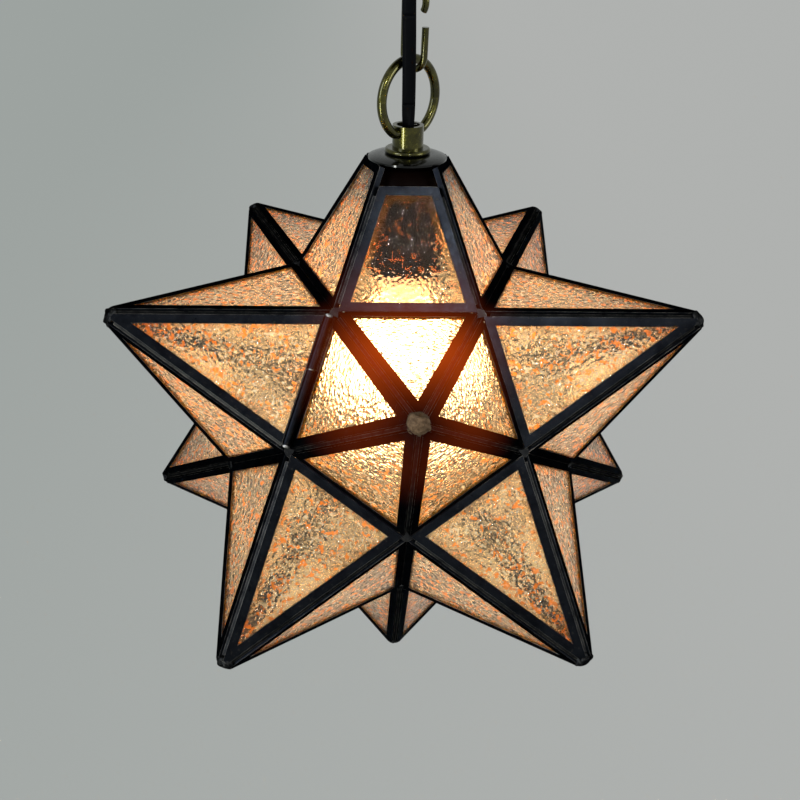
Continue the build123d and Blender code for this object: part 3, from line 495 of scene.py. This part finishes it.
def add_pane(bm, point, neighbour):
    """A closed slab: the outer face in relief, the inner face flat. The short pane is polished."""
    out = AXES[neighbour]
    foot = STAR_CENTRE + out * FACE_OFFSET
    up = (AXES[point] * TIP_RADIUS - out * FACE_OFFSET).normalized()
    across = up.cross(out)
    inset, low, top = pane_limits(point, neighbour)
    depth = bm.verts.layers.float["inside"]
    short = point == "top" and neighbour == "door"
    front, back = [], []
    for row in range(RELIEF_ROWS + 1):
        y = low + (top - low) * row / RELIEF_ROWS
        half = pane_half(y, inset)
        line = []
        for column in range(RELIEF_COLUMNS + 1):
            x = half * (2 * column / RELIEF_COLUMNS - 1)
            place = foot + across * x + up * y
            vert = bm.verts.new(place + out * (PANE_THICKNESS / 2 - RELIEF_DEPTH * relief(place)))
            vert[depth] = min((half - abs(x)) * cos(HALF_APEX), y - low, top - y) / MM
            line.append(vert)
            if row in (0, RELIEF_ROWS) or column in (0, RELIEF_COLUMNS):
                vert = bm.verts.new(place - out * PANE_THICKNESS / 2)
                vert[depth] = RIM_WIDTH
                back.append((row, column, vert))
        front.append(line)
    for row in range(RELIEF_ROWS):
        for column in range(RELIEF_COLUMNS):
            face = bm.faces.new((front[row][column], front[row][column + 1],
                                 front[row + 1][column + 1], front[row + 1][column]))
            face.smooth = True
            face.material_index = 2 if short else 0
    behind = {(row, column): vert for row, column, vert in back}
    rim = [(0, c) for c in range(RELIEF_COLUMNS)] + [(r, RELIEF_COLUMNS) for r in range(RELIEF_ROWS)]
    rim += [(RELIEF_ROWS, c) for c in range(RELIEF_COLUMNS, 0, -1)]
    rim += [(r, 0) for r in range(RELIEF_ROWS, 0, -1)]
    for here, after in zip(rim, rim[1:] + rim[:1]):
        bm.faces.new((front[after[0]][after[1]], front[here[0]][here[1]], behind[here], behind[after]))
    bm.faces.new([behind[spot] for spot in reversed(rim)]).material_index = 3 if short else 1


for point in AXES:
    bm = bmesh.new()
    bm.verts.layers.float.new("inside")
    for neighbour in neighbours(point):
        add_pane(bm, point, neighbour)
    node = "door_panes" if point == "door" else f"panes_{point}"
    body = "door" if point == "door" else "star"
    glass = new_piece(f"hammered_{node}", bm, GLASS, body)
    glass.data.materials.append(LIT_SIDE)
    if point == "top":
        glass.data.materials.append(SMOOTH_GLASS)
        glass.data.materials.append(SMOOTH_LIT_SIDE)
    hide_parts(node)
    soften("door_cames" if point == "door" else f"cames_{point}", CHANNEL_EDGE)


# Solder on the tips and in the valley corners
def add_drop(bm, seat, out, radius, height):
    """A drop of solder over the ends of the channels, run unevenly between them."""
    drop = bmesh.ops.create_icosphere(bm, subdivisions=4, radius=1.0)
    for vert in drop["verts"]:
        along = vert.co.dot(out)
        side = vert.co - out * along
        uneven = 1 + LUMP_UNEVEN * noise.noise(vert.co * 1.7 + out * 5)
        vert.co = seat + (side * radius + out * (along * height)) * uneven


def solder_piece(name, bm, material, body):
    for face in bm.faces:
        face.smooth = True
    new_piece(name, bm, material, body)


def tip_lumps(name, points, material, body):
    bm = bmesh.new()
    for point in points:
        out = AXES[point]
        add_drop(bm, STAR_CENTRE + out * (TIP_RADIUS - LUMP_SINK), out, LUMP_RADIUS, LUMP_HEIGHT)
    solder_piece(name, bm, material, body)


def corner_pools():
    """A pool of solder in each valley corner, apart from the door's, which has to open."""
    bm = bmesh.new()
    for trio in combinations([p for p in AXES if p != "door"], 3):
        if all(AXES[a].dot(AXES[b]) > 0 for a, b in combinations(trio, 2)):
            out = sum((AXES[p] for p in trio), Vector()).normalized()
            add_drop(bm, corner(*trio) - out * POOL_SINK, out, POOL_RADIUS, POOL_HEIGHT)
    solder_piece("corner_pools", bm, SOLDER_PATINA, "star")


tip_lumps("tip_lumps", [p for p in AXES if p not in ("top", "door")], SOLDER_PATINA, "star")
tip_lumps("door_tip_lump", ["door"], BARE_SOLDER, "door")
corner_pools()


# Cord
def cord_line():
    """Points along the smooth line of the route."""
    curve = bpy.data.curves.new("cord_line", "CURVE")
    curve.dimensions = "3D"
    spline = curve.splines.new("NURBS")
    spline.points.add(len(CORD_ROUTE) - 1)
    for here, place in zip(spline.points, CORD_ROUTE):
        here.co = (*place, 1)
    spline.order_u = 3
    spline.use_endpoint_u = True
    spline.resolution_u = 24
    holder = bpy.data.objects.new("cord_line", curve)
    mesh = bpy.data.meshes.new_from_object(holder)
    line = [v.co.copy() for v in mesh.vertices]
    bpy.data.objects.remove(holder)
    bpy.data.meshes.remove(mesh)
    return line


def cord_section():
    """A flat twin section: two round sides joined by a web with a shallow groove."""
    points = []
    radius = CORD_THICKNESS / 2
    reach = (CORD_WIDTH - CORD_THICKNESS) / 2
    for i in range(CORD_SIDES):
        a = 2 * pi * (i + 0.5) / CORD_SIDES
        x = radius * cos(a) + (reach if cos(a) > 0 else -reach)
        dip = 1 - CORD_GROOVE * exp(-(x / reach) ** 2 * 3)
        points.append((x, radius * sin(a) * dip))
    return points


def cord_rings(line):
    """The section's places at every point of the line."""
    section = cord_section()
    rings = []
    for i, place in enumerate(line):
        along = (line[min(i + 1, len(line) - 1)] - line[max(i - 1, 0)]).normalized()
        side = (Vector((1, 0, 0)) - along * along.x).normalized()
        flat = along.cross(side)
        share = min(max((CORD_TWIST_FROM - place.z) / (CORD_TWIST_FROM - CORD_TWIST_TO), 0.0), 1.0)
        turn = CORD_TWIST * share * share * (3 - 2 * share)
        wide = side * cos(turn) + flat * sin(turn)
        thin = flat * cos(turn) - side * sin(turn)
        rings.append([place + wide * x + thin * y for x, y in section])
    return rings


def cord_stretch(name, first, last, bodies, start, end):
    """One bending stretch of the cord, between two bodies."""
    bm = bmesh.new()
    rings = [[bm.verts.new(place) for place in ring] for ring in cord_skin[first:last + 1]]
    for before, after in zip(rings, rings[1:]):
        for i, here in enumerate(before):
            j = (i + 1) % len(before)
            bm.faces.new((here, before[j], after[j], after[i])).smooth = True
    bm.faces.new(reversed(rings[0]))
    bm.faces.new(rings[-1])
    bmesh.ops.recalc_face_normals(bm, faces=bm.faces)
    piece = new_piece(name, bm, CORD_SHEATH, None)
    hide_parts("cord")
    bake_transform(piece, *bodies, start=start, end=end)


whole_cord = cord_line()
cord_skin = cord_rings(whole_cord)
upper_cut = min(range(len(whole_cord)), key=lambda i: abs(whole_cord[i].z - CORD_CUTS[0]))
lower_cut = min(range(len(whole_cord)), key=lambda i: abs(whole_cord[i].z - CORD_CUTS[1]))
bends = [(0, 0, height) for height in (CORD_BEND_FROM, *CORD_CUTS, CORD_BEND_TO)]
cord_stretch("cord_upper", 0, upper_cut, ("ceiling", "link"), bends[0], bends[1])
cord_stretch("cord_middle", upper_cut, lower_cut, ("link", "ring"), bends[1], bends[2])
cord_stretch("cord_lower", lower_cut, len(whole_cord) - 1, ("ring", "star"), bends[2], bends[3])


# Floor, light and camera
def backdrop_paint():
    """Matte pale grey with painted shade, darker towards the left, that shows at its own tone and keeps a faint
    shadow.
    """
    made, tree, coords = new_material("matte_grey_paper")
    place = add(tree, "ShaderNodeSeparateXYZ", {0: coords})
    # Painted shade: the tone darkens towards the left.
    side = add(tree, "ShaderNodeMapRange", {0: place.outputs["X"], 1: FLOOR_SHADED_SIDE, 2: FLOOR_LIT_SIDE},
               interpolation_type="SMOOTHSTEP")
    tone = mixed(tree, side.outputs[0], linear("#A3A9A6"), linear("#B6B8B6"))
    glow = add(tree, "ShaderNodeEmission", {"Color": tone, "Strength": 1.0})
    matte = add(tree, "ShaderNodeBsdfDiffuse", {"Color": tone})
    shader = add(tree, "ShaderNodeMixShader", {0: FLOOR_OWN_TONE, 1: matte.outputs[0], 2: glow.outputs[0]})
    end_material(tree, shader)
    return made


bm = bmesh.new()
bmesh.ops.create_grid(bm, x_segments=1, y_segments=1, size=FLOOR_SIZE / 2)
floor_mesh = bpy.data.meshes.new("floor")
bm.to_mesh(floor_mesh)
bm.free()
floor_mesh.materials.append(backdrop_paint())
floor = bpy.data.objects.new("floor", floor_mesh)
floor.location.z = FLOOR_HEIGHT
bpy.context.scene.collection.objects.link(floor)

world = bpy.data.worlds.new("pale_room")
world.use_nodes = True
world.node_tree.nodes.clear()
sky = add(world.node_tree, "ShaderNodeBackground", {"Color": linear(ROOM_COLOUR), "Strength": 1.0})
room = add(world.node_tree, "ShaderNodeBackground", {"Color": linear(ROOM_COLOUR), "Strength": ROOM_LIGHT})
# The pale room shows to the camera, in metal and through glass; the lamps give the light.
ray = add(world.node_tree, "ShaderNodeLightPath").outputs
mirrored = add(world.node_tree, "ShaderNodeMath", {0: ray["Is Camera Ray"], 1: ray["Is Glossy Ray"]},
               operation="MAXIMUM")
seen = add(world.node_tree, "ShaderNodeMath", {0: mirrored.outputs[0], 1: ray["Is Transmission Ray"]},
           operation="MAXIMUM")
both = add(world.node_tree, "ShaderNodeMixShader", {0: seen.outputs[0], 1: room.outputs[0], 2: sky.outputs[0]})
add(world.node_tree, "ShaderNodeOutputWorld", {"Surface": both.outputs[0]})
bpy.context.scene.world = world


def softbox(name, place, size, power, colour):
    lamp = bpy.data.lights.new(name, "AREA")
    lamp.shape = "RECTANGLE"
    lamp.size, lamp.size_y = size
    lamp.energy = power
    lamp.color = linear(colour)[:3]
    stand = bpy.data.objects.new(name, lamp)
    stand.location = place
    stand.rotation_euler = (STAR_CENTRE - Vector(place)).to_track_quat("-Z", "Y").to_euler()
    bpy.context.scene.collection.objects.link(stand)


softbox("window_left", (-1.1, -0.7, 0.35), (0.5, 0.9), 8.0, "#E8F0FF")
softbox("fill_right", (1.2, -0.6, 0.2), (0.6, 0.6), 5.0, "#F4F4F2")
softbox("front_lamp", (0.15, -0.95, 0.45), (0.05, 0.05), 3.0, "#FFFFFF")
softbox("low_strip", (-0.62, -0.8, -0.5), (0.12, 0.5), 5.0, "#F6F8F2")

camera_data = bpy.data.cameras.new("camera")
camera_data.sensor_width = SENSOR_WIDTH
camera_data.lens = CAMERA_FOCAL * SENSOR_WIDTH
camera = bpy.data.objects.new("camera", camera_data)
back = Vector((cos(CAMERA_ELEVATION) * sin(CAMERA_AZIMUTH), -cos(CAMERA_ELEVATION) * cos(CAMERA_AZIMUTH),
               sin(CAMERA_ELEVATION)))
right = (-back).cross(Vector((0, 0, 1))).normalized()
above = right.cross(-back)
place = STAR_CENTRE + back * CAMERA_DISTANCE + right * CAMERA_SHIFT_RIGHT + above * CAMERA_SHIFT_UP
tilted_right = right * cos(CAMERA_ROLL) + above * sin(CAMERA_ROLL)
tilted_up = above * cos(CAMERA_ROLL) - right * sin(CAMERA_ROLL)
turn = Matrix((tilted_right, tilted_up, back)).transposed()
camera.matrix_world = Matrix.Translation(place) @ turn.to_4x4()
bpy.context.scene.collection.objects.link(camera)
bpy.context.scene.camera = camera
bpy.context.scene.view_settings.view_transform = "Standard"
